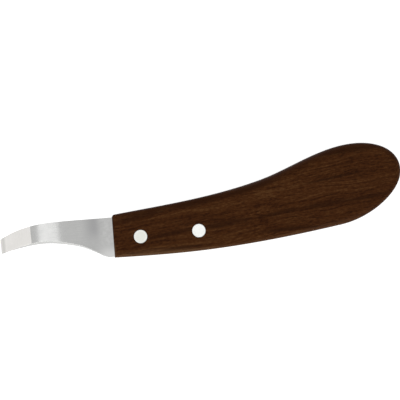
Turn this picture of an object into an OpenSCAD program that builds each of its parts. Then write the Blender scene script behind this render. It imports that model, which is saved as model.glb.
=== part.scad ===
// Hoof-trimming hook knife: a drop blade with a curled tip, riveted into a
// slotted one-piece wooden handle. It lies on its side on the plane Z = 0,
// with the convex face of the blade up. Lengths in millimetres.

/* [Handle outline] */
// Length of the handle from its front end to its butt
handle_l = 145.5; // [121:0.5:175]
// Height of the front end above the rivet line
front_rise = 12.1; // [11.2:0.1:14]
// Depth of the front end below the rivet line
front_drop = 9.2; // [9:0.1:11]
// How far the lower corner of the front end stands forward of the upper one
front_lean = 0.5; // [0:0.1:1.5]
// Depth of the underside of the grip below the rivet line
grip_drop = 10.1; // [9.2:0.1:12]
// Distance of the neck, where the back turns up to the palm, from the front end
neck_x = 75; // [65:1:85]
// Height of the back above the rivet line at the neck
neck_rise = 22; // [19:0.5:25]
// Height of the crown of the palm above the rivet line
crown_rise = 35.5; // [31:0.5:40]
// Distance of the crown forward of the butt
crown_back = 22; // [18:1:26]
// Depth below the rivet line of the heel, where the underside turns up
heel_drop = 4.2; // [2:0.1:6]
// Distance of the heel forward of the butt
heel_back = 32; // [27:1:38]
// Height of the outermost point of the butt above the rivet line
butt_rise = 20.5; // [17:0.5:24]

/* [Handle section] */
// Thickness of the handle over the tang
front_t = 17.5; // [15:0.5:20]
// Thickness of the handle at the palm
palm_t = 22.5; // [18.5:0.5:27]
// Radius of the round-over along the front end
front_round = 1.2; // [0.6:0.1:1.5]
// Radius of the round-over along the back, over the tang
back_round = 3; // [2:0.1:4]
// Radius of the upper front corner, seen from the side
front_corner = 1.3; // [1:0.1:2.5]
// Radius of the round-over along the back, at the neck and palm
neck_round = 5; // [3:0.1:6]
// Radius of the round-over along the underside of the grip
grip_round = 1.6; // [1:0.1:3]
// Radius of the round-over around the heel and butt
butt_round = 3; // [2:0.1:4]

/* [Blade] */
// Thickness of the blade steel
blade_t = 2; // [1.6:0.1:2.4]
// Height of the back of the blade above the rivet line, at the handle
back_rise = 10.9; // [10.4:0.1:11.1]
// Depth of the ricasso below the rivet line
ricasso_drop = 8.8; // [8.2:0.1:8.9]
// Length of the square-edged ricasso in front of the handle
ricasso_l = 5; // [3:0.5:8]
// Length of the gently bowed part, between the ricasso and the hook
bow_l = 47.95; // [40:0.05:58]
// Outer radius of the hook
hook_r = 4.8; // [4:0.1:5.5]
// Direction of the steel at the end of the lip, turned from the tang's
hook_turn = 222; // [190:1:235]
// Width of the bevel along the cutting edge
bevel_w = 1.1; // [0.8:0.1:2]
// Thickness of the steel left at the cutting edge
edge_t = 0.3; // [0.2:0.05:0.6]
// Length in front of the hook over which the steel is ground thinner
grind_l = 11.65; // [8:0.05:14]
// Depth of steel ground away on the outside of the hook
grind_t = 0.6; // [0.2:0.05:0.8]
// Radius of the corners at the end of the lip
lip_round = 1.5; // [0.8:0.1:1.8]

/* [Tang and rivets] */
// Distance of the front rivet from the front end of the handle
rivet_inset = 13.3; // [11:0.1:18]
// Distance between the two rivets
rivet_pitch = 29.2; // [24:0.1:35]
// Length of the tang behind the rear rivet
tang_tail = 7; // [6:0.5:10]
// Diameter of the rivet heads
head_d = 6.8; // [6.4:0.1:8]
// Thickness of the rivet heads
head_t = 1.6; // [1.2:0.1:2]
// Outer diameter of the tube of the female half
tube_d = 5; // [4.2:0.1:6]
// Diameter of the shank of the male half
shank_d = 3.4; // [3:0.1:3.6]
// Free length left in the tube beyond the end of the shank
tube_spare = 1; // [0.5:0.1:2]
// Distance by which the tube stops short of the male half's head
tube_short = 2; // [1:0.1:3]
// Radial clearance of a rivet tube in the wood
bore_clearance = 0.05; // [0:0.01:0.15]
// Radial clearance of a rivet tube in the tang
tang_clearance = 0.1; // [0.05:0.01:0.2]
// Clearance of the tang across the saw kerf, which the rivets close up
kerf_clearance = 0; // [0:0.01:0.1]
// Length of the saw kerf beyond the end of the tang
kerf_spare = 1; // [0.5:0.5:3]

/* [Hidden] */
$fn = 96;
eps = 0.01;

rivets = [rivet_inset, rivet_inset + rivet_pitch];
tang_l = rivets[1] + tang_tail;
kerf_l = tang_l + kerf_spare;

// Plane curves -----------------------------------------------------------

// A point on the cubic curve with the four control points p
function bezier(p, t) =
  pow(1 - t, 3) * p[0] + 3 * t * pow(1 - t, 2) * p[1]
  + 3 * t * t * (1 - t) * p[2] + pow(t, 3) * p[3];

// n points along that curve, without its last one
function stretch(p, n) = [for (i = [0 : n - 1]) bezier(p, i / n)];

// A smooth curve through the knots [x, y], read at x
function knot_slope(k, i) =
  let (a = k[max(i - 1, 0)], b = k[min(i + 1, len(k) - 1)])
  (b[1] - a[1]) / (b[0] - a[0]);
function knot_before(k, x, i = 0) =
  i >= len(k) - 2 || x < k[i + 1][0] ? i : knot_before(k, x, i + 1);
function along(k, x) =
  let (i = knot_before(k, x), a = k[i], b = k[i + 1], w = b[0] - a[0], t = (x - a[0]) / w)
  bezier([a[1], a[1] + knot_slope(k, i) * w / 3, b[1] - knot_slope(k, i + 1) * w / 3, b[1]], t);

// Handle -----------------------------------------------------------------

butt = [handle_l, butt_rise];
crown_x = handle_l - crown_back;
heel_x = handle_l - heel_back;
neck_slope = 0.25;
heel_slope = 0.13;
// Place of the lowest point of the grip, behind the front end
grip_x = 35;

// The upper front corner is rounded at least as far as the edges around it
corner_r = max(front_corner, front_round + 0.1);
corner_rise = 0.1 * corner_r;
corner_steps = 4;

// Back of the handle: front corner, neck, crown and butt
back_edge = concat(
  stretch([[0, front_rise - corner_r], [0, front_rise - 0.45 * corner_r],
           [0.45 * corner_r, front_rise + 0.45 * corner_rise],
           [corner_r, front_rise + corner_rise]], corner_steps),
  stretch([[corner_r, front_rise + corner_rise], [25, front_rise + 2.4],
           [neck_x - 26, neck_rise - 26 * neck_slope], [neck_x, neck_rise]], 10),
  stretch([[neck_x, neck_rise], [neck_x + 16, neck_rise + 16 * neck_slope],
           [crown_x - 17, crown_rise], [crown_x, crown_rise]], 10),
  stretch([[crown_x, crown_rise], [crown_x + 12, crown_rise],
           butt + [0, 9.8], butt], 12),
  [butt]);
// Underside of the handle: front end, grip, heel and butt
front_low = [-front_lean, -front_drop];
front_up = [front_lean, front_rise + front_drop] / (front_rise + front_drop);
under_edge = concat(
  [for (k = [corner_steps : -1 : 1]) front_low + k * corner_r / 2 * front_up],
  stretch([front_low, [12, -front_drop - 0.5],
           [grip_x - 12, -grip_drop], [grip_x, -grip_drop]], 5),
  stretch([[grip_x, -grip_drop], [grip_x + 26, -grip_drop],
           [heel_x - 26, -heel_drop - 26 * heel_slope], [heel_x, -heel_drop]], 13),
  stretch([[heel_x, -heel_drop], [heel_x + 16, -heel_drop + 16 * heel_slope],
           butt - [0, 10.5], butt], 14));
pairs = len(under_edge);
outline = concat(back_edge, [for (i = [pairs - 1 : -1 : 0]) under_edge[i]]);
sides = len(outline);

// Inward direction at each point of the outline, mitred at the lower front corner
function right_of(d) = [d[1], -d[0]] / norm(d);
function inward(i) =
  let (p = outline[i], before = outline[(i + sides - 1) % sides], after = outline[(i + 1) % sides])
  i == sides - 1 - corner_steps
    ? let (a = right_of(p - before), b = right_of(after - p)) (a + b) / (1 + a * b)
    : right_of(after - before);

// Round-over radius at each point of the outline
function round_at(i) =
  let (x = outline[i][0])
  i <= pairs
    ? lookup(x, [[corner_r, front_round], [corner_r + 3, back_round], [kerf_l, back_round],
                 [neck_x, neck_round], [crown_x - 15, neck_round], [crown_x + 5, butt_round]])
    : lookup(x, [[0, front_round], [4, grip_round], [heel_x - 40, grip_round],
                 [heel_x, butt_round]]);

// Half thickness: flat over the tang, swelling to the flat of the palm
swell_start = kerf_l + 1;
swell_end = crown_x - 28;
function swell(x) =
  let (t = min(max((x - swell_start) / (swell_end - swell_start), 0), 1)) (1 - cos(180 * t)) / 2;
function half_t(x) = (front_t + (palm_t - front_t) * swell(x)) / 2;

// Rings run from the lower face, round the edge, to the upper face
arc_steps = 6;
rings = 2 * (arc_steps + 1);
function ring_point(i, j) =
  let (side = j <= arc_steps ? -1 : 1,
       turn = 90 * (j <= arc_steps ? arc_steps - j : j - arc_steps - 1) / arc_steps,
       r = round_at(i),
       p = outline[i] + inward(i) * r * (1 - cos(turn)))
  [p[0], p[1], side * (half_t(outline[i][0]) - r * (1 - sin(turn)))];
function at(i, j) = (i % sides) * rings + j;
// The point of the underside that faces point m of the back
function facing(m) = sides - 1 - m;

module handle_body() {
  points = [for (i = [0 : sides - 1], j = [0 : rings - 1]) ring_point(i, j)];
  edge_faces = [for (i = [0 : sides - 1], j = [0 : rings - 2])
    [at(i, j), at(i + 1, j), at(i + 1, j + 1), at(i, j + 1)]];
  upper = [for (m = [0 : pairs - 1]) m < pairs - 1
    ? [at(m, rings - 1), at(m + 1, rings - 1), at(facing(m + 1), rings - 1), at(facing(m), rings - 1)]
    : [at(m, rings - 1), at(m + 1, rings - 1), at(facing(m), rings - 1)]];
  lower = [for (m = [0 : pairs - 1]) m < pairs - 1
    ? [at(facing(m), 0), at(facing(m + 1), 0), at(m + 1, 0), at(m, 0)]
    : [at(facing(m), 0), at(m + 1, 0), at(m, 0)]];
  polyhedron(points, concat(edge_faces, upper, lower), convexity = 4);
}

module handle() {
  kerf_w = blade_t + kerf_clearance;
  place() color([0.30, 0.16, 0.08]) difference() {
    handle_body();
    translate([-10, -grip_drop - 10, -kerf_w / 2])
      cube([kerf_l + 10, crown_rise + grip_drop + 20, kerf_w]);
    for (x = rivets) translate([x, 0, 0]) {
      cylinder(h = front_t + 2, d = tube_d + 2 * bore_clearance, center = true);
      for (side = [0, 180]) rotate([side, 0, 0])
        translate([0, 0, front_t / 2 - head_t]) cylinder(h = head_t + 1, d = head_d);
    }
  }
}

// Blade ------------------------------------------------------------------

// The blade is laid out flat along s, which runs from the front end of the
// handle to the end of the lip, and is negative on the tang. It is then bent:
// the bow tightens towards the hook, and brings it down to the palm's plane.
inner_n = -blade_t / 2;
ground_n = blade_t / 2 - grind_t;
hook_mid_r = hook_r - ground_n;
hook_s = ricasso_l + bow_l;
reach_down = palm_t / 2 - ground_n;
bow_turn = (bow_l / 3 - sqrt(pow(bow_l / 3, 2) - 2 * hook_mid_r * (reach_down - 2 * hook_mid_r)))
  / hook_mid_r;
bow_rate = bow_turn / pow(bow_l, 2);
bow_deg = bow_turn * 180 / PI;
hook_deg_per_s = 180 / PI / hook_mid_r;
end_s = hook_s + (hook_turn - bow_deg) / hook_deg_per_s;
grind_s = hook_s - grind_l;

function bow_point(u) = [-ricasso_l - u + pow(bow_rate, 2) * pow(u, 5) / 10, -bow_rate * pow(u, 3) / 3];
hook_centre = bow_point(bow_l) + hook_mid_r * [sin(bow_deg), -cos(bow_deg)];
// Angle and place in the XZ plane of the middle of the steel
function turn_at(s) =
  s <= ricasso_l ? 0
  : s <= hook_s ? bow_rate * pow(s - ricasso_l, 2) * 180 / PI
  : bow_deg + (s - hook_s) * hook_deg_per_s;
function middle_at(s) =
  s <= ricasso_l ? [-s, 0]
  : s <= hook_s ? bow_point(s - ricasso_l)
  : hook_centre + hook_mid_r * [-sin(turn_at(s)), cos(turn_at(s))];

// Outline of the flat blank: the bowed part's knots lie at shares of its length
function bow_s(share) = ricasso_l + bow_l * share;
back_knots = [
  [-tang_l, back_rise - 0.6], [0, back_rise], [bow_s(0.45), back_rise + 0.6],
  [bow_s(0.67), back_rise + 0.25], [bow_s(0.84), back_rise - 1.1], [bow_s(0.96), back_rise - 2.8],
  [hook_s + 2.2, back_rise - 4.5], [hook_s + 6.5, back_rise - 5.8], [end_s, back_rise - 6.9]];
edge_knots = [
  [0, -ricasso_drop], [ricasso_l - 1.5, -ricasso_drop + 0.05],
  [ricasso_l + 0.4, -ricasso_drop + 0.7], [bow_s(0.115), -ricasso_drop + 3.6],
  [bow_s(0.23), -ricasso_drop + 6.25], [bow_s(0.36), -ricasso_drop + 8.1],
  [bow_s(0.48), -ricasso_drop + 9.3], [bow_s(0.61), -ricasso_drop + 10.0],
  [bow_s(0.75), -ricasso_drop + 9.8], [bow_s(0.9), -ricasso_drop + 8.9],
  [hook_s, -ricasso_drop + 8.0], [hook_s + 4.5, -ricasso_drop + 7.1],
  [hook_s + 9, -ricasso_drop + 7.8], [end_s, -ricasso_drop + 8.8]];
tang_taper = 0.8;
tang_corner = 2;
soft_edge = 0.2;
burr = 0.05;
lip_t = 0.9;

function end_inset(s) =
  s < tang_corner - tang_l ? tang_corner - (s + tang_l)
  : let (q = max(s - end_s + lip_round, 0) / lip_round) lip_round * (1 - sqrt(max(1 - q * q, 0.04)));
function back_y(s) = along(back_knots, s) - end_inset(s);
function edge_y(s) =
  (s <= 0 ? -ricasso_drop - s / tang_l * tang_taper : along(edge_knots, s)) + end_inset(s);
// Steel left under the outer face, and width and thickness of the cutting edge
function outer_n(s) =
  lookup(s, [[grind_s, blade_t / 2], [hook_s - 3, ground_n], [end_s - 4, ground_n],
             [end_s, inner_n + lip_t]]);
function bevel_at(s) =
  lookup(s, [[ricasso_l - 1, soft_edge], [bow_s(0.2), 0.6 * bevel_w], [bow_s(0.5), bevel_w],
             [end_s - lip_round, bevel_w], [end_s, soft_edge]]);
function edge_t_at(s) =
  lookup(s, [[ricasso_l - 1, blade_t - soft_edge], [bow_s(0.2), edge_t], [end_s, edge_t]]);
// The bow is bevelled on its outer face and the hook on its inner face, so the
// cutting edge crosses the steel in between, from 0 to 1
function crossing(s) = lookup(s, [[grind_s - 2, 0], [hook_s, 1]]);

function section(s) =
  let (top = back_y(s), low = edge_y(s), outer = outer_n(s), over = crossing(s),
       edge_n = inner_n + burr + over * (outer - inner_n - edge_t - 2 * burr))
  [[outer, top], [outer, low + max(bevel_at(s) * (1 - over), burr)], [edge_n + edge_t_at(s), low],
   [edge_n, low], [inner_n, low + max(bevel_at(s) * over, burr)], [inner_n, top]];
function bent(s, p) =
  let (m = middle_at(s), turn = turn_at(s)) [m[0] - p[0] * sin(turn), p[1], m[1] + p[0] * cos(turn)];

function steps(a, b, n) = [for (i = [0 : n - 1]) a + (b - a) * i / n];
stations = concat(
  [-tang_l, tang_corner - tang_l], steps(0, bow_s(0.12), 14), steps(bow_s(0.12), grind_s, 22),
  steps(grind_s, hook_s, 10), steps(hook_s, end_s - lip_round, 24),
  steps(end_s - lip_round, end_s, 5), [end_s]);

module blade_body() {
  n = 6;
  last = len(stations) - 1;
  points = [for (s = stations, p = section(s)) bent(s, p)];
  skin = [for (k = [0 : last - 1], p = [0 : n - 1])
    [k * n + p, k * n + (p + 1) % n, (k + 1) * n + (p + 1) % n, (k + 1) * n + p]];
  ends = [[for (p = [n - 1 : -1 : 0]) p], [for (p = [0 : n - 1]) last * n + p]];
  polyhedron(points, concat(skin, ends), convexity = 4);
}

module blade() {
  place() color([0.72, 0.72, 0.72]) difference() {
    blade_body();
    for (x = rivets) translate([x, 0, 0])
      cylinder(h = blade_t + 2, d = tube_d + 2 * tang_clearance, center = true);
  }
}

// Rivets -----------------------------------------------------------------

tube_l = front_t - head_t * 2 - tube_short;
shank_l = front_t - head_t * 2 - tube_spare;

module rivet_female(x) {
  place() translate([x, 0, front_t / 2]) color([0.86, 0.86, 0.86]) difference() {
    union() {
      translate([0, 0, -head_t]) cylinder(h = head_t, d = head_d);
      translate([0, 0, -head_t - tube_l]) cylinder(h = tube_l + eps, d = tube_d);
    }
    translate([0, 0, -head_t - tube_l - 1]) cylinder(h = tube_l + 1, d = shank_d);
  }
}

module rivet_male(x) {
  place() translate([x, 0, -front_t / 2]) color([0.86, 0.86, 0.86]) union() {
    cylinder(h = head_t, d = head_d);
    translate([0, 0, head_t - eps]) cylinder(h = shank_l + eps, d = shank_d);
  }
}

module front_rivet_female() { rivet_female(rivets[0]); }
module front_rivet_male() { rivet_male(rivets[0]); }
module rear_rivet_female() { rivet_female(rivets[1]); }
module rear_rivet_male() { rivet_male(rivets[1]); }

// Placing ----------------------------------------------------------------

// The parts are drawn with the front end of the handle at X = 0, the rivet
// line along X and the middle of the blade steel at Z = 0. They are moved so
// that the origin is the middle of the whole knife's footprint.
tip_x = hook_centre[0] - hook_r;
middle_x = (tip_x + handle_l) / 2;
middle_y = (max([for (p = back_edge) p[1]]) + min([for (p = under_edge) p[1]])) / 2;

module place() { translate([-middle_x, -middle_y, palm_t / 2]) children(); }

handle();
blade();
front_rivet_female();
front_rivet_male();
rear_rivet_female();
rear_rivet_male();
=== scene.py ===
# A hoof-trimming hook knife, lying on its side with the convex face of the blade up.
# The blade is laid out flat, ground and bent, the handle is cut, rounded and sawn,
# and two cutler's rivets hold them together.
import math

import bmesh
import bpy
from mathutils import Matrix, Vector
from mathutils.geometry import interpolate_bezier


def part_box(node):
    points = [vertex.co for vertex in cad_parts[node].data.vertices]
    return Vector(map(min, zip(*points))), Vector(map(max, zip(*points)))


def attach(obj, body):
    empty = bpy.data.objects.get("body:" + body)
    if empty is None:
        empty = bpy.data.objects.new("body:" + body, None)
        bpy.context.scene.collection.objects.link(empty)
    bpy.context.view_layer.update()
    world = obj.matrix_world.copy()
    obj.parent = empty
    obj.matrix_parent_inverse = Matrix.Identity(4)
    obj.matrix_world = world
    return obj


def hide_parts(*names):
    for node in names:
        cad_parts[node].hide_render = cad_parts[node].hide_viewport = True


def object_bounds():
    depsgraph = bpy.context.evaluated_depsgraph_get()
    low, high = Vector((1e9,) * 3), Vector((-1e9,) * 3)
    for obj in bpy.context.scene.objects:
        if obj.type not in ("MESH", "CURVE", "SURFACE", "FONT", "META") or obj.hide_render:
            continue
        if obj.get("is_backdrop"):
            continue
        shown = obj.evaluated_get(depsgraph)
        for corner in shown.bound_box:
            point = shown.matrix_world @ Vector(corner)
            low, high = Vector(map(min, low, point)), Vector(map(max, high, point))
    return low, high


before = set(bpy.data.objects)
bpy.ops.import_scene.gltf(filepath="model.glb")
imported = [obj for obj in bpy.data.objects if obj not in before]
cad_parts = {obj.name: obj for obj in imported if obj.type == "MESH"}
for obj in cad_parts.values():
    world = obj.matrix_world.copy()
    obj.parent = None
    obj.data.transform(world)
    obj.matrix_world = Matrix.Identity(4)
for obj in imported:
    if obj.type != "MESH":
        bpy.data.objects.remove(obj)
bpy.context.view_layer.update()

# ---------------------------------------------------------------------------------------
# Blade. One strip of 2 mm steel: the tang with its two rivet holes, the square ricasso,
# the bowed cutting part and the curled hook. It is cut as a flat blank, ground thinner
# towards the hook and bevelled along the lower edge, then bent.

mm = 0.001
rivet_line = (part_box("front_rivet_female")[0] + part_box("front_rivet_female")[1]) / 2
rear_rivet = (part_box("rear_rivet_female")[0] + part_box("rear_rivet_female")[1]) / 2
steel_z = (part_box("front_rivet_male")[0].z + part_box("front_rivet_female")[1].z) / 2
rivet_inset = 13.3
front_x = rivet_line.x - rivet_inset * mm
rivet_places = [(r.x - front_x) / mm for r in (rivet_line, rear_rivet)]


def place(co):
    """From millimetres behind the handle's front end, above the rivet line and above the
    middle of the steel, to the row's frame in metres."""
    return Vector((front_x, rivet_line.y, steel_z)) + Vector(co) * mm


blade_t = 2.0
tang_tail = 7.0
tang_l = rivet_places[1] + tang_tail
tang_taper = 0.8
tang_hole_r = 2.6
ricasso_l = 5.0
bow_l = 47.95
hook_s = ricasso_l + bow_l
grind_l = 11.65
grind_s = hook_s - grind_l
grind_t = 0.6
hook_r = 4.8
inner_n = -blade_t / 2
ground_n = blade_t / 2 - grind_t
mid_r = hook_r - ground_n
hook_turn = math.radians(222)
palm_half = (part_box("handle")[1].z - steel_z) / mm
bow_third = bow_l / 3
bow_turn = (bow_third - math.sqrt(
    bow_third ** 2 - 2 * mid_r * (palm_half - ground_n - 2 * mid_r))) / mid_r
bow_rate = bow_turn / bow_l ** 2
end_s = hook_s + (hook_turn - bow_turn) * mid_r


def read_at(knots, x):
    """Straight lines through the knots (x, y), read at x, and level beyond both ends."""
    for (x0, y0), (x1, y1) in zip(knots, knots[1:]):
        if x <= x1:
            return y0 + (y1 - y0) * max(x - x0, 0) / (x1 - x0)
    return knots[-1][1]


def smooth_at(knots, x):
    """A smooth curve through the knots (x, y), read at x."""
    i = max(k for k in range(len(knots) - 1) if k == 0 or knots[k][0] <= x)

    def slope(k):
        (x0, y0), (x1, y1) = knots[max(k - 1, 0)], knots[min(k + 1, len(knots) - 1)]
        return (y1 - y0) / (x1 - x0)

    (x0, y0), (x1, y1) = knots[i], knots[i + 1]
    w = x1 - x0
    t = (x - x0) / w
    y0_pull, y1_pull = y0 + slope(i) * w / 3, y1 - slope(i + 1) * w / 3
    return ((1 - t) ** 3 * y0 + 3 * t * (1 - t) ** 2 * y0_pull
            + 3 * t * t * (1 - t) * y1_pull + t ** 3 * y1)


def bow_s(share):
    return ricasso_l + bow_l * share


back_rise = 10.9
ricasso_drop = 8.8
back_knots = [
    (-tang_l, back_rise - 0.6), (0, back_rise), (bow_s(0.45), back_rise + 0.6),
    (bow_s(0.67), back_rise + 0.25), (bow_s(0.84), back_rise - 1.1), (bow_s(0.96), back_rise - 2.8),
    (hook_s + 2.2, back_rise - 4.5), (hook_s + 6.5, back_rise - 5.8), (end_s, back_rise - 6.9)]
edge_knots = [(s, rise - ricasso_drop) for s, rise in (
    (0, 0), (ricasso_l - 1.5, 0.05), (ricasso_l + 0.4, 0.7), (bow_s(0.115), 3.6),
    (bow_s(0.23), 6.25), (bow_s(0.36), 8.1), (bow_s(0.48), 9.3), (bow_s(0.61), 10.0),
    (bow_s(0.75), 9.8), (bow_s(0.9), 8.9), (hook_s, 8.0), (hook_s + 4.5, 7.1), (hook_s + 9, 7.8),
    (end_s, 8.8))]
bevel_w = 1.1
edge_t = 0.3
soft_edge = 0.2
burr = 0.05
lip_round = 1.5
tang_corner = 2.0
rim_r = 0.08
blank_span = 100


def end_inset(s):
    """How far the rounded lip and the cut corner of the tang draw both edges in."""
    if s < tang_corner - tang_l:
        return tang_corner - (s + tang_l)
    q = max(s - end_s + lip_round, 0) / lip_round
    return lip_round * (1 - math.sqrt(max(1 - q * q, 0.04)))


def back_y(s):
    return smooth_at(back_knots, s) - end_inset(s)


def edge_y(s):
    low = -ricasso_drop - s / tang_l * tang_taper if s <= 0 else smooth_at(edge_knots, s)
    return low + end_inset(s)


def outer_n(s):
    return read_at([(grind_s, blade_t / 2), (hook_s - 3, ground_n), (end_s - 4, ground_n),
                    (end_s, inner_n + 0.9)], s)


def bevel_at(s):
    return read_at([(ricasso_l - 1, soft_edge), (bow_s(0.2), 0.6 * bevel_w), (bow_s(0.5), bevel_w),
                    (end_s - lip_round, bevel_w), (end_s, soft_edge)], s)


def edge_t_at(s):
    return read_at([(ricasso_l - 1, blade_t - soft_edge), (bow_s(0.2), edge_t)], s)


def crossing(s):
    """The bow is bevelled on its outer face, 0, and the hook on its inner face, 1."""
    return read_at([(grind_s - 2, 0), (hook_s, 1)], s)


def edge_n(s):
    """Where the cutting edge lies in the steel's thickness, measured to its inner side."""
    return inner_n + burr + crossing(s) * (outer_n(s) - inner_n - edge_t - 2 * burr)


def bend(s, y, n):
    """Where a point of the flat blank goes when the blade is bent."""
    if s <= ricasso_l:
        x, z, turn = -s, 0.0, 0.0
    else:
        u = min(s, hook_s) - ricasso_l
        turn = bow_rate * u * u
        x = -ricasso_l - u + bow_rate ** 2 * u ** 5 / 10
        z = -bow_rate * u ** 3 / 3
    if s > hook_s:
        centre_x, centre_z = x + mid_r * math.sin(turn), z - mid_r * math.cos(turn)
        turn += (s - hook_s) / mid_r
        x, z = centre_x - mid_r * math.sin(turn), centre_z + mid_r * math.cos(turn)
    return place((x - n * math.sin(turn), y, z + n * math.cos(turn)))


def spread(start, stop, steps):
    return [start + (stop - start) * i / steps for i in range(steps)]


stations = ([-tang_l, tang_corner - tang_l] + spread(-40, 0, 8) + spread(0, bow_s(0.12), 24)
            + spread(bow_s(0.12), grind_s, 48) + spread(grind_s, hook_s, 20)
            + spread(hook_s, end_s - lip_round, 56) + spread(end_s - lip_round, end_s, 10) + [end_s])
rows = [None, 0, 0.3, 0.5, 0.7, 0.85, 1]

# The outer skin is a grid, station by station along the blade and row by row up it, and the
# inner skin is extruded from it. Row 0 is the cutting edge and row 1 the top of its bevel.
blade_mesh = bmesh.new()
station_of = blade_mesh.verts.layers.int.new("station")
row_of = blade_mesh.verts.layers.int.new("row")
bmesh.ops.create_grid(blade_mesh, x_segments=len(stations) - 1, y_segments=len(rows) - 1, size=0.5)
for v in blade_mesh.verts:
    v[station_of] = round((v.co.x + 0.5) * (len(stations) - 1))
    v[row_of] = round((v.co.y + 0.5) * (len(rows) - 1))
skin = bmesh.ops.extrude_face_region(blade_mesh, geom=blade_mesh.faces[:])["geom"]
inner = {v for v in skin if isinstance(v, bmesh.types.BMVert)}
for v in blade_mesh.verts:
    s, row = stations[v[station_of]], v[row_of]
    over = crossing(s) if v in inner else 1 - crossing(s)
    low = edge_y(s)
    shoulder = low + max(bevel_at(s) * over, burr)
    if row == 0:
        y, n = low, edge_n(s) + (0 if v in inner else edge_t_at(s))
    else:
        y, n = shoulder + (back_y(s) - shoulder) * rows[row], inner_n if v in inner else outer_n(s)
    v.co = (-s, y, n)
bmesh.ops.recalc_face_normals(blade_mesh, faces=blade_mesh.faces[:])
layout = blade_mesh.loops.layers.uv.new("blank")
for f in blade_mesh.faces:
    f.smooth = True
    s = -f.calc_center_median().x
    on_edge = any(v[row_of] == 0 for v in f.verts) and all(v[row_of] < 2 for v in f.verts)
    if on_edge and s > ricasso_l:
        f.material_index = 2
    elif s > grind_s and f.normal.z > 0.5:
        f.material_index = 1
    for corner in f.loops:
        corner[layout].uv = (-corner.vert.co.x / blank_span, corner.vert.co.y / blank_span)
rims = [e for e in blade_mesh.edges if e.calc_face_angle(0) > math.radians(50)]
bmesh.ops.bevel(blade_mesh, geom=rims, offset=rim_r, segments=2, profile=0.5, affect="EDGES",
                material=-1, clamp_overlap=True)
for v in blade_mesh.verts:
    v.co = bend(-v.co.x, v.co.y, v.co.z)


def finish_mesh(name, bm, body="root", nodes=()):
    """Turns a finished bmesh into a piece that rides on the knife."""
    mesh = bpy.data.meshes.new(name)
    bm.to_mesh(mesh)
    bm.free()
    piece = bpy.data.objects.new(name, mesh)
    bpy.context.scene.collection.objects.link(piece)
    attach(piece, body)
    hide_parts(*nodes)
    return piece


def cut(piece, cutter_bm):
    """Cuts the closed shape in cutter_bm out of a piece."""
    mesh = bpy.data.meshes.new("cutter")
    cutter_bm.to_mesh(mesh)
    cutter_bm.free()
    cutter = bpy.data.objects.new("cutter", mesh)
    bpy.context.scene.collection.objects.link(cutter)
    saw = piece.modifiers.new("saw", "BOOLEAN")
    saw.operation, saw.solver, saw.object = "DIFFERENCE", "EXACT", cutter
    depsgraph = bpy.context.evaluated_depsgraph_get()
    result = bpy.data.meshes.new_from_object(piece.evaluated_get(depsgraph))
    piece.modifiers.remove(saw)
    old = piece.data
    piece.data = result
    result.name = piece.name
    bpy.data.meshes.remove(old)
    bpy.data.objects.remove(cutter)
    bpy.data.meshes.remove(mesh)


def soften(piece, angle=35):
    """Smooth shading that keeps flats flat and leaves edges sharper than angle crisp."""
    piece.data.shade_smooth()
    piece.data.set_sharp_from_angle(angle=math.radians(angle))
    weigh = piece.modifiers.new("flats", "WEIGHTED_NORMAL")
    weigh.keep_sharp = True


blade = finish_mesh("blade_steel", blade_mesh, nodes=["blade"])
for x in rivet_places:
    hole = bmesh.new()
    bmesh.ops.create_cone(hole, cap_ends=True, segments=64, radius1=tang_hole_r * mm,
                          radius2=tang_hole_r * mm, depth=2 * blade_t * mm,
                          matrix=Matrix.Translation(place((x, 0, 0))))
    cut(blade, hole)
soften(blade)


def node(tree, kind, settings=None, **inputs):
    """Adds a node; an input is named, or numbered as _0, and takes a value or an output."""
    made = tree.nodes.new(kind)
    for key, value in (settings or {}).items():
        setattr(made, key, value)
    for key, value in inputs.items():
        socket = made.inputs[int(key[1:])] if key[1:].isdigit() else made.inputs[key.replace("_", " ")]
        if isinstance(value, bpy.types.NodeSocket):
            tree.links.new(value, socket)
        else:
            socket.default_value = value
    return made


def ramp(tree, value, low, high, to_low=0.0, to_high=1.0):
    """A smooth step from to_low, where value is low, to to_high, where it is high."""
    return node(tree, "ShaderNodeMapRange", {"interpolation_type": "SMOOTHSTEP"}, Value=value,
                From_Min=low, From_Max=high, To_Min=to_low, To_Max=to_high).outputs[0]


def maths(tree, operation, *values):
    return node(tree, "ShaderNodeMath", {"operation": operation},
                **{f"_{i}": value for i, value in enumerate(values)}).outputs[0]


def blend(tree, amount, a, b):
    """Goes from colour a to colour b as amount goes from 0 to 1."""
    return node(tree, "ShaderNodeMix", {"data_type": "RGBA"}, _0=amount, _6=a, _7=b).outputs[2]


def effect(name, inputs, outputs):
    """An empty shader group; inputs are (label, default), where a default of None is a vector."""
    group = bpy.data.node_groups.new(name, "ShaderNodeTree")
    for label, default in inputs:
        kind = "NodeSocketVector" if default is None else "NodeSocketFloat"
        socket = group.interface.new_socket(label, in_out="INPUT", socket_type=kind)
        if default is not None:
            socket.default_value = default
    for label in outputs:
        group.interface.new_socket(label, in_out="OUTPUT", socket_type="NodeSocketFloat")
    return group, group.nodes.new("NodeGroupInput").outputs, group.nodes.new("NodeGroupOutput").inputs


def stretched_noise(tree, vector, length, width, detail, **inputs):
    size = node(tree, "ShaderNodeCombineXYZ", X=length, Y=width, Z=width).outputs[0]
    cell = node(tree, "ShaderNodeVectorMath", {"operation": "DIVIDE"}, _0=vector, _1=size).outputs[0]
    return node(tree, "ShaderNodeTexNoise", Vector=cell, Scale=1.0, Detail=detail, **inputs).outputs[0]


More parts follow.
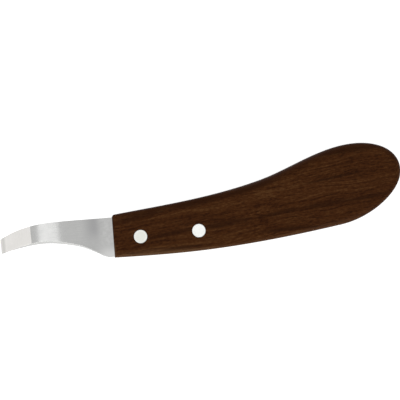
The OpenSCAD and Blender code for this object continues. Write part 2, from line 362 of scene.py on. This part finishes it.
# Lines that a belt, a stone or a sanding block leaves along X: Grain is the even texture of
# them, and Lines the few deep ones. Length and Width are the size of one line.
abraded, take, give = effect(
    "abraded", [("Vector", None), ("Length", 1.0), ("Width", 0.1), ("Deep", 0.3)], ["Grain", "Lines"])
grain = stretched_noise(abraded, take["Vector"], take["Length"], take["Width"], 3.0, Roughness=0.65)
abraded.links.new(ramp(abraded, grain, 0.3, 0.7), give["Grain"])
wide = maths(abraded, "MULTIPLY", take["Width"], 1.7)
lines = stretched_noise(abraded, take["Vector"], take["Length"], wide, 1.0, Distortion=0.2)
start = maths(abraded, "SUBTRACT", 0.78, maths(abraded, "MULTIPLY", take["Deep"], 0.2))
deep = node(abraded, "ShaderNodeMapRange", {"interpolation_type": "SMOOTHSTEP"}, Value=lines,
            From_Min=start, From_Max=0.8, To_Min=0.0, To_Max=1.0).outputs[0]
abraded.links.new(deep, give["Lines"])

# Where hands and cloths have been: soft cloudy patches, Size across.
handled, take, give = effect("handled", [("Vector", None), ("Size", 10.0)], ["Patches"])
cloud = stretched_noise(handled, take["Vector"], take["Size"], take["Size"], 4.0, Roughness=0.6)
handled.links.new(ramp(handled, cloud, 0.38, 0.66), give["Patches"])


def use(tree, group, **inputs):
    return node(tree, "ShaderNodeGroup", {"node_tree": group}, **inputs).outputs


def material(name):
    made = bpy.data.materials.new(name)
    made.use_nodes = True
    made.node_tree.nodes.clear()
    shader = made.node_tree.nodes.new("ShaderNodeBsdfPrincipled")
    out = made.node_tree.nodes.new("ShaderNodeOutputMaterial")
    made.node_tree.links.new(shader.outputs[0], out.inputs[0])
    return made, made.node_tree, shader


def steel(name, bright, dull, lengthwise, length, width, deep, rough_low, rough_high, bump):
    """Bare steel with abrasion lines along the blade or across it; sizes in millimetres."""
    made, tree, shader = material(name)
    sheet = node(tree, "ShaderNodeUVMap", {"uv_map": "blank"}).outputs[0]
    turn = 0 if lengthwise else math.pi / 2
    flat = node(tree, "ShaderNodeMapping", Vector=sheet, Scale=(blank_span,) * 3).outputs[0]
    lay = node(tree, "ShaderNodeMapping", Vector=flat, Rotation=(0, 0, turn)).outputs[0]
    marks = use(tree, abraded, Vector=lay, Length=length, Width=width, Deep=deep)
    touched = use(tree, handled, Vector=flat, Size=9.0)["Patches"]
    tone_shift = maths(tree, "MULTIPLY_ADD", touched, 0.4, maths(tree, "MULTIPLY", marks["Grain"], 0.6))
    tone = blend(tree, tone_shift, (*bright, 1), (*dull, 1))
    rough = maths(tree, "MULTIPLY_ADD", tone_shift, 0.6, marks["Lines"])
    tree.links.new(ramp(tree, rough, 0.0, 1.2, rough_low, rough_high), shader.inputs["Roughness"])
    height = maths(tree, "SUBTRACT", marks["Grain"], marks["Lines"])
    relief = node(tree, "ShaderNodeBump", Strength=1.0, Distance=bump * mm, Height=height)
    tree.links.new(relief.outputs[0], shader.inputs["Normal"])
    tree.links.new(tone, shader.inputs["Base Color"])
    shader.inputs["Metallic"].default_value = 1
    return made, tree, shader, tone, flat


polished, tree, shader, tone, flat = steel(
    "polished_steel", (0.57, 0.57, 0.56), (0.505, 0.505, 0.50), True, 11, 0.2, 0.3, 0.05, 0.15, 0.0002)
# The steel is darker in a band in front of the ricasso, and paler and mottled at its lower corner.
spot = node(tree, "ShaderNodeSeparateXYZ", Vector=flat)
along, up = spot.outputs[0], spot.outputs[1]
band = maths(tree, "MULTIPLY", ramp(tree, along, 4.5, 9.5), ramp(tree, along, 9.5, 17, 1.0, 0.0))
band = maths(tree, "MULTIPLY", band, ramp(tree, up, -2, 7, 0.15, 1.0))
tone = blend(tree, band, tone, (0.42, 0.42, 0.42, 1))
corner = maths(tree, "MULTIPLY", ramp(tree, along, 12, 3), ramp(tree, up, -1, -8))
mottled = use(tree, handled, Vector=flat, Size=2.2)["Patches"]
mottled = maths(tree, "MULTIPLY", mottled, ramp(tree, along, 9, 4, 0.0, 0.35))
tone = blend(tree, maths(tree, "MAXIMUM", corner, mottled), tone, (0.72, 0.72, 0.71, 1))
# The tang was never polished, and is dark from the forge.
forged = ramp(tree, along, -0.4, -1.0)
tree.links.new(blend(tree, forged, tone, (0.16, 0.15, 0.14, 1)), shader.inputs["Base Color"])
shine = shader.inputs["Roughness"].links[0].from_socket
tree.links.new(maths(tree, "MULTIPLY_ADD", forged, 0.35, shine), shader.inputs["Roughness"])

ground, tree, shader, tone, flat = steel(
    "ground_steel", (0.79, 0.772, 0.75), (0.72, 0.705, 0.68), False, 5, 0.2, 0.5, 0.48, 0.62, 0.003)
# The curl is painted darker: painted shade where it turns away from the light.
along = node(tree, "ShaderNodeSeparateXYZ", Vector=flat).outputs[0]
tone = blend(tree, ramp(tree, along, hook_s + 0.5, hook_s + 3), tone, (0.56, 0.55, 0.53, 1))
tree.links.new(tone, shader.inputs["Base Color"])

honed = steel(
    "honed_bevel", (0.52, 0.52, 0.51), (0.42, 0.42, 0.41), False, 2.5, 0.12, 0.6, 0.26, 0.45, 0.002)[0]
for m in (polished, ground, honed):
    blade.data.materials.append(m)

# ---------------------------------------------------------------------------------------
# Handle. One piece of dark hardwood: cut to its outline from a flat board, swelling from
# the tang to the palm, rounded over all along its edges and varnished. A saw kerf from the
# front end takes the tang, and the rivet heads are let in flush with the sides.

handle_l = (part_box("handle")[1].x - front_x) / mm
front_half = (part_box("front_rivet_female")[1].z - steel_z) / mm
front_round = 1.2
back_round = 3
neck_round = 5
grip_round = 1.6
butt_round = 3
corner_r = 1.3
butt = Vector((handle_l, 20.5, 0))
neck = Vector((75, 22, 0))
crown = butt + Vector((-22, 15, 0))
heel = Vector((handle_l - 32, -4.2, 0))
grip = Vector((35, -10.1, 0))
neck_run = Vector((1, 0.25, 0))
heel_run = Vector((1, 0.13, 0))
level = Vector((1, 0, 0))
upright = Vector((0, 1, 0))


def curve(*stretches):
    """Points along cubic stretches, each (start, pull, pull, end, steps)."""
    points = []
    for a, pull_a, pull_b, b, steps in stretches:
        points += interpolate_bezier(a, pull_a, pull_b, b, steps + 1)[:-1]
    return points


front_top = Vector((0, 12.1, 0))
front_low = Vector((-0.5, -9.2, 0))
corner_start = front_top - corner_r * upright
corner_end = front_top + corner_r * Vector((1, 0.1, 0))
outline = curve(
    (corner_start, front_top - 0.45 * corner_r * upright, front_top.lerp(corner_end, 0.45), corner_end, 6),
    (corner_end, Vector((25, 14.5, 0)), neck - 26 * neck_run, neck, 26),
    (neck, neck + 16 * neck_run, crown - 17 * level, crown, 22),
    (crown, crown + 12 * level, butt + 9.8 * upright, butt, 24),
    (butt, butt - 10.5 * upright, heel + 16 * heel_run, heel, 30),
    (heel, heel - 26 * heel_run, grip + 26 * level, grip, 26),
    (grip, grip - 12 * level, front_low + Vector((12, -0.5, 0)), front_low, 12),
    (front_low, front_low.lerp(corner_start, 1 / 3), front_low.lerp(corner_start, 2 / 3), corner_start, 4))

rounds_back = [(corner_r, front_round), (corner_r + 3, back_round), (51, back_round),
               (neck.x, neck_round), (crown.x - 15, neck_round), (crown.x + 5, butt_round)]
rounds_under = [(0, front_round), (4, grip_round), (heel.x - 40, grip_round), (heel.x, butt_round)]


def round_at(p):
    """How far the edge over an outline point is rounded over."""
    above = p.y > read_at([(0, 0), (crown.x, 12), (handle_l, butt.y)], p.x)
    return read_at(rounds_back if above else rounds_under, p.x)


def inward_at(i):
    """The way in from an outline point, square to the outline and mitred at its corners."""
    here, after = outline[i], outline[(i + 1) % len(outline)]
    a, b = (here - outline[i - 1]).normalized(), (after - here).normalized()
    a, b = Vector((a.y, -a.x, 0)), Vector((b.y, -b.x, 0))
    return (a + b) / (1 + a.dot(b))


def rim_light_at(p):
    """1 along the belly, where painted light lightens the rim in patches, and -1 along the back, where
    painted shade darkens it.
    """
    middle = read_at([(0, 1), (neck.x, 8), (crown.x, 14), (handle_l, butt.y)], p.x)
    most = read_at([(30, 1), (55, 0.6), (heel.x, 0.4), (handle_l - 15, 0)], p.x)
    return min(max((middle - p.y) / 6, -1), most)


def swell_at(x):
    t = min(max((x - swell_start) / (swell_end - swell_start), 0), 1)
    return (palm_half - front_half) * (1 - math.cos(math.pi * t)) / 2


kerf_l = tang_l + 1
swell_start = kerf_l + 1
swell_end = crown.x - 28
round_steps = 10
bore_r = 2.55
recess_r = 3.5
recess_floor = front_half - 1.6

# The upper half grows ring by ring from the outline at half thickness, and is then mirrored.
handle_mesh = bmesh.new()
which = handle_mesh.verts.layers.int.new("which")
# Each vertex holds the painted light (above 0) or painted shade (below 0) on its rim.
tone_shift = handle_mesh.verts.layers.float.new("tone_shift")
ring = [handle_mesh.verts.new(p) for p in outline]
for i, v in enumerate(ring):
    v[which] = i
    v[tone_shift] = rim_light_at(outline[i])
edges = [handle_mesh.edges.new(pair) for pair in zip(ring, ring[1:] + ring[:1])]
for step in range(round_steps + 1):
    angle = math.pi / 2 * step / round_steps
    grown = bmesh.ops.extrude_edge_only(handle_mesh, edges=edges)["geom"]
    edges = [e for e in grown if isinstance(e, bmesh.types.BMEdge)]
    for v in grown:
        if isinstance(v, bmesh.types.BMVert):
            start, r = outline[v[which]], round_at(outline[v[which]])
            v.co = start + inward_at(v[which]) * r * (1 - math.cos(angle))
            v.co.z = front_half - r * (1 - math.sin(angle))
            v[tone_shift] = rim_light_at(start) * math.sqrt(max(math.cos(angle), 0))
bmesh.ops.edgeloop_fill(handle_mesh, edges=edges)
for x in spread(swell_start, swell_end, 24) + [swell_end]:
    handle_mesh.normal_update()
    side = [f for f in handle_mesh.faces if abs(f.normal.z) > 0.999]
    side_edges = list({e for f in side for e in f.edges})
    side_verts = list({v for f in side for v in f.verts})
    bmesh.ops.bisect_plane(handle_mesh, geom=side + side_edges + side_verts, dist=0.01,
                           plane_co=(x, 0, 0), plane_no=(1, 0, 0))
for v in handle_mesh.verts:
    if v.co.z > 0.01:
        v.co.z += swell_at(v.co.x)
everything = handle_mesh.verts[:] + handle_mesh.edges[:] + handle_mesh.faces[:]
bmesh.ops.mirror(handle_mesh, geom=everything, axis="Z", merge_dist=0.001)
bmesh.ops.recalc_face_normals(handle_mesh, faces=handle_mesh.faces[:])
for v in handle_mesh.verts:
    v.co = place(v.co)
handle = finish_mesh("handle_wood", handle_mesh, nodes=["handle"])

kerf = bmesh.new()
sawn = Matrix.Diagonal(((kerf_l + 10) * mm, 80 * mm, blade_t * mm, 1))
bmesh.ops.create_cube(kerf, size=1, matrix=Matrix.Translation(place((kerf_l / 2 - 5, 5, 0))) @ sawn)
cut(handle, kerf)
for x in rivet_places:
    bore = bmesh.new()
    profile = [(0, -front_half - 1), (recess_r, -front_half - 1), (recess_r, -recess_floor),
               (bore_r, -recess_floor), (bore_r, recess_floor), (recess_r, recess_floor),
               (recess_r, front_half + 1), (0, front_half + 1)]
    ring = [bore.verts.new(place((x + r, 0, z))) for r, z in profile]
    edges = [bore.edges.new(pair) for pair in zip(ring, ring[1:])]
    bmesh.ops.spin(bore, geom=ring + edges, cent=place((x, 0, 0)), axis=(0, 0, 1), angle=math.tau,
                   steps=64, use_merge=True)
    bmesh.ops.remove_doubles(bore, verts=bore.verts[:], dist=1e-6)
    bmesh.ops.recalc_face_normals(bore, faces=bore.faces[:])
    cut(handle, bore)
soften(handle)

wood, tree, shader = material("varnished_wood")
spot = node(tree, "ShaderNodeTexCoord").outputs["Object"]
board = node(tree, "ShaderNodeMapping", {"vector_type": "TEXTURE"}, Vector=spot, Location=place((0, 0, 0)),
             Rotation=(0, 0, math.radians(4.5)), Scale=(mm, mm, mm)).outputs[0]


def vectors(tree, operation, *values):
    return node(tree, "ShaderNodeVectorMath", {"operation": operation},
                **{f"_{i}": value for i, value in enumerate(values)}).outputs[0]


drift = vectors(tree, "DIVIDE", board, (38, 16, 16))
drift = node(tree, "ShaderNodeTexNoise", Vector=drift, Scale=1.0, Detail=1.0).outputs["Color"]
drift = vectors(tree, "MULTIPLY", vectors(tree, "SUBTRACT", drift, (0.5, 0.5, 0.5)), (0, 7, 5))
grown = vectors(tree, "ADD", board, drift)

bands = ramp(tree, stretched_noise(tree, grown, 110, 6.5, 2.0), 0.32, 0.68)
streaks = ramp(tree, stretched_noise(tree, grown, 34, 1.0, 4.0, Roughness=0.6), 0.3, 0.7)
fibres = ramp(tree, stretched_noise(tree, grown, 7, 0.28, 3.0, Roughness=0.6), 0.3, 0.7)
pores = ramp(tree, stretched_noise(tree, grown, 4.5, 0.22, 1.0), 0.6, 0.7)
mottle = ramp(tree, stretched_noise(tree, board, 1.8, 0.8, 3.0, Roughness=0.65), 0.32, 0.68)


def streak_at(x, y, turn, long, wide):
    """A ragged streak in the board: its place, turn in degrees, half length and half width."""
    local = node(tree, "ShaderNodeMapping", {"vector_type": "TEXTURE"}, Vector=spot,
                 Location=place((x, y, 0)), Rotation=(0, 0, math.radians(turn)),
                 Scale=(long * mm, wide * mm, 1)).outputs[0]
    ragged = vectors(tree, "ADD", local, vectors(tree, "DIVIDE", drift, (1e9, 5 * wide, 1e9)))
    far = node(tree, "ShaderNodeVectorMath", {"operation": "LENGTH"}, _0=ragged).outputs["Value"]
    return ramp(tree, far, 0.25, 1.15, 1.0, 0.0)


pale_wood = (0.0860, 0.0440, 0.0200, 1)
# Long dark streaks of heartwood; the pale streak along the front of the belly's edge, further on, is
# painted light.
heart = None
for x, y, turn, long, wide in (
        (14, 10.2, 8, 20, 2.2), (44, 14.2, 8, 24, 2.2), (70, 18.6, 12, 19, 1.9), (120, 32.2, 2, 19, 2.0),
        (29, -0.2, 6, 16, 1.6), (55, 2.1, 5, 18, 2.0), (84, 4.7, 7, 18, 1.4), (108, 6.8, 4, 18, 1.9),
        (128, 8.2, 5, 15, 1.5), (87, -3.9, 1, 19, 1.3), (35, -7.3, 1, 15, 0.9), (112, 19.5, 7, 20, 0.9)):
    streak = streak_at(x, y, turn, long, wide)
    heart = streak if heart is None else maths(tree, "MAXIMUM", heart, streak)
heart = maths(tree, "MULTIPLY", heart, maths(tree, "MULTIPLY_ADD", streaks, 0.55, 0.45))

tone = maths(tree, "MULTIPLY_ADD", streaks, 0.33, maths(tree, "MULTIPLY", bands, 0.16))
tone = maths(tree, "MULTIPLY_ADD", fibres, 0.24, tone)
tone = maths(tree, "MULTIPLY_ADD", mottle, 0.27, tone)
brown = blend(tree, ramp(tree, tone, 0.2, 0.5), (0.0200, 0.0054, 0.0014, 1), (0.0410, 0.0130, 0.0031, 1))
brown = blend(tree, ramp(tree, tone, 0.5, 0.82), brown, (0.0680, 0.0280, 0.0086, 1))
# Painted light: a pale streak laid along the front of the lower edge.
pale = maths(tree, "MULTIPLY", streak_at(20, -9.0, -1, 32, 2.6), 0.38)
brown = blend(tree, pale, brown, pale_wood)
brown = blend(tree, maths(tree, "MULTIPLY", heart, 0.85), brown, (0.0150, 0.0044, 0.0013, 1))
brown = blend(tree, maths(tree, "MULTIPLY", pores, 0.6), brown, (0.0080, 0.0026, 0.0010, 1))
rim_light_and_shade = node(tree, "ShaderNodeAttribute", {"attribute_name": "tone_shift"}).outputs["Fac"]
touched = use(tree, handled, Vector=board, Size=14.0)["Patches"]
patchy = maths(tree, "MULTIPLY_ADD", touched, 0.3, 0.45)
# Painted light: the belly rim is lightened towards pale_wood, in patches.
belly_light = maths(tree, "MULTIPLY", ramp(tree, rim_light_and_shade, 0.0, 0.9), patchy)
brown = blend(tree, belly_light, brown, pale_wood)
# Painted shade: the back rim is darkened.
brown = blend(tree, ramp(tree, rim_light_and_shade, -0.2, -1.0, 0.0, 0.65), brown, (0.0235, 0.0065, 0.0017, 1))
tree.links.new(brown, shader.inputs["Base Color"])

rough = maths(tree, "MULTIPLY_ADD", touched, 0.5, maths(tree, "MULTIPLY", pores, 0.5))
tree.links.new(ramp(tree, rough, 0.0, 1.0, 0.34, 0.58), shader.inputs["Roughness"])
height = maths(tree, "MULTIPLY_ADD", fibres, 0.35, maths(tree, "MULTIPLY", pores, -1.0))
relief = node(tree, "ShaderNodeBump", Strength=1.0, Distance=0.02 * mm, Height=height)
tree.links.new(relief.outputs[0], shader.inputs["Normal"])
shader.inputs["Specular IOR Level"].default_value = 0.025
handle.data.materials.append(wood)

# ---------------------------------------------------------------------------------------
# Rivets. Two cutler's rivets of aluminium: a tube with a flat head from above, and a solid
# shank with the same head pressed into it from below. The heads are sanded flush.

head_r = 3.4
head_t = 1.6
head_round = 0.15
tube_r = 2.5
shank_r = 1.7
tube_short = 2.0
tube_spare = 1.0
alloy, tree, shader = material("rivet_alloy")
spot = node(tree, "ShaderNodeTexCoord").outputs["Object"]
sanded = node(tree, "ShaderNodeMapping", {"vector_type": "TEXTURE"}, Vector=spot, Location=place((0, 0, 0)),
              Rotation=(0, 0, math.radians(7)), Scale=(mm, mm, mm)).outputs[0]
marks = use(tree, abraded, Vector=sanded, Length=5.0, Width=0.14, Deep=0.5)
touched = use(tree, handled, Vector=sanded, Size=4.0)["Patches"]
wear_and_shade = maths(tree, "MULTIPLY_ADD", touched, 0.2, maths(tree, "MULTIPLY", marks["Grain"], 0.2))
# The front rivet is painted darker, its middle most: painted shade.
flat = node(tree, "ShaderNodeVectorMath", {"operation": "MULTIPLY"}, _0=spot, _1=(1, 1, 0)).outputs[0]
axis = place((rivet_inset, 0, 0)) * Vector((1, 1, 0))
near = node(tree, "ShaderNodeVectorMath", {"operation": "DISTANCE"}, _0=flat, _1=axis).outputs["Value"]
front_rivet_shade = maths(tree, "ADD", ramp(tree, near, 2.2 * mm, 3.2 * mm, 0.38, 0.0),
                ramp(tree, near, 6 * mm, 12 * mm, 0.35, 0.0))
wear_and_shade = maths(tree, "ADD", wear_and_shade, front_rivet_shade)
metal = blend(tree, wear_and_shade, (0.95, 0.965, 0.95, 1), (0.74, 0.75, 0.69, 1))
tree.links.new(metal, shader.inputs["Base Color"])
tree.links.new(ramp(tree, maths(tree, "ADD", marks["Lines"], wear_and_shade), 0.0, 1.5, 0.34, 0.52),
               shader.inputs["Roughness"])
height = maths(tree, "SUBTRACT", marks["Grain"], marks["Lines"])
relief = node(tree, "ShaderNodeBump", Strength=1.0, Distance=0.003 * mm, Height=height)
tree.links.new(relief.outputs[0], shader.inputs["Normal"])
shader.inputs["Metallic"].default_value = 1


def turned(name, x, profile, node_name):
    """A piece turned on the rivet's axis at x, from its (radius, height) profile."""
    bm = bmesh.new()
    ring = [bm.verts.new(place((x + r, 0, z))) for r, z in profile]
    edges = [bm.edges.new(pair) for pair in zip(ring, ring[1:])]
    bmesh.ops.spin(bm, geom=ring + edges, cent=place((x, 0, 0)), axis=(0, 0, 1), angle=math.tau,
                   steps=64, use_merge=True)
    bmesh.ops.remove_doubles(bm, verts=bm.verts[:], dist=1e-6)
    bmesh.ops.recalc_face_normals(bm, faces=bm.faces[:])
    piece = finish_mesh(name, bm, nodes=[node_name])
    piece.data.materials.append(alloy)
    soften(piece, 25)
    return piece


head_under = front_half - head_t
tube_end = tube_short - head_under
shank_end = head_under - tube_spare
female = [(0, front_half), (head_r - head_round, front_half), (head_r, front_half - head_round),
          (head_r, head_under), (tube_r, head_under), (tube_r, tube_end), (shank_r, tube_end),
          (shank_r, head_under), (0, head_under)]
male = [(0, -front_half), (head_r - head_round, -front_half), (head_r, -front_half + head_round),
        (head_r, -head_under), (shank_r, -head_under), (shank_r, shank_end), (0, shank_end)]
for end, x in zip(("front", "rear"), rivet_places):
    turned(f"{end}_rivet_tube", x, female, f"{end}_rivet_female")
    turned(f"{end}_rivet_shank", x, male, f"{end}_rivet_male")

# ---------------------------------------------------------------------------------------
# Setting: a pale floor, soft boxes and the camera straight above.

floor_mesh = bmesh.new()
bmesh.ops.create_grid(floor_mesh, x_segments=1, y_segments=1, size=3)
mesh = bpy.data.meshes.new("floor")
floor_mesh.to_mesh(mesh)
floor_mesh.free()
floor = bpy.data.objects.new("floor", mesh)
bpy.context.scene.collection.objects.link(floor)
floor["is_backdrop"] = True
paper, tree, shader = material("white_paper")
shader.inputs["Base Color"].default_value = (0.5, 0.5, 0.5, 1)
shader.inputs["Roughness"].default_value = 0.9
shader.inputs["Emission Color"].default_value = (1, 1, 1, 1)
shader.inputs["Emission Strength"].default_value = 0.78
shader.inputs["Specular IOR Level"].default_value = 0.1
floor.data.materials.append(paper)


def soft_box(name, at, size, power):
    """A square-cornered soft light at a place, aimed at the knife."""
    data = bpy.data.lights.new(name, "AREA")
    data.shape, data.size, data.size_y, data.energy = "RECTANGLE", size[0], size[1], power
    box = bpy.data.objects.new(name, data)
    box.location = at
    box.rotation_mode = "QUATERNION"
    box.rotation_quaternion = (-Vector(at)).to_track_quat("-Z", "Y")
    bpy.context.scene.collection.objects.link(box)
    box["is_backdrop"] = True


soft_box("key", (0, -2.0, 1.6), (2.4, 1.2), 30)
soft_box("side", (-2.0, 0, 1.4), (1.2, 1.2), 3)
soft_box("top", (1.0, 0, 2.6), (1.6, 1.2), 2.5)
soft_box("strip", (-0.401, 0, 2.6), (1.2, 0.186), 0.415)

world = bpy.data.worlds.new("studio")
world.use_nodes = True
sky = world.node_tree.nodes["Background"]
sky.inputs["Strength"].default_value = 0.85
sky.inputs["Color"].default_value = (1, 1, 1, 1)
bpy.context.scene.world = world
bpy.context.scene.view_settings.view_transform = "Standard"

lens = 400.0
sensor = 36.0
frame_width = 0.2
aim = (rivet_inset + 31.3, 15.1, 0)
tilt = -5.83
camera_data = bpy.data.cameras.new("camera")
camera_data.lens = lens
camera_data.sensor_width = sensor
camera = bpy.data.objects.new("camera", camera_data)
camera.location = place(aim) + Vector((0, 0, frame_width * lens / sensor))
camera.rotation_euler = (0, 0, math.radians(tilt))
bpy.context.scene.collection.objects.link(camera)
bpy.context.scene.camera = camera

low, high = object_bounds()
